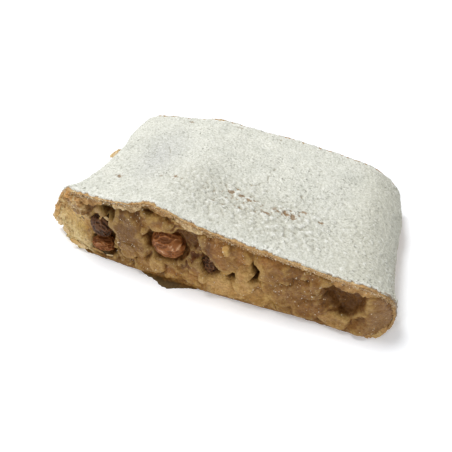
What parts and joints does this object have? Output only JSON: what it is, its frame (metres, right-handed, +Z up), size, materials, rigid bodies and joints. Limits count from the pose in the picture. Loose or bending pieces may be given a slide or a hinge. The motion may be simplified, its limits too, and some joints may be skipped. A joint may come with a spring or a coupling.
{
  "type": "apple strudel portion",
  "caption": "Flat, dome-topped portion of baked apple strudel, cut across, with thin pastry round a soft filling of apple and raisins.",
  "frame": {"origin": "middle of the underside of the bounding box", "axes": "+X along the width of the cut face, +Y from the front cut to the back cut, +Z up"},
  "size_m": [0.1302, 0.0712, 0.0327],
  "materials": {
    "pastry": "baked, matt, golden at the cut edges",
    "filling": "moist cooked apple, soft and slightly translucent",
    "raisin_dark": "wrinkled, moist, dark brown",
    "raisin_golden": "wrinkled, moist, reddish gold",
    "sugar": "powdered sugar, matt white"
  },
  "bodies": {
    "root": {"pastry": "pastry", "filling": "filling", "raisin_front_dark": "raisin_dark", "raisin_front_low": "raisin_golden", "raisin_front_golden": "raisin_golden", "raisin_front_small": "raisin_dark", "raisin_back_left": "raisin_dark", "raisin_back_middle": "raisin_golden", "raisin_back_right": "raisin_dark"}
  },
  "joints": []
}
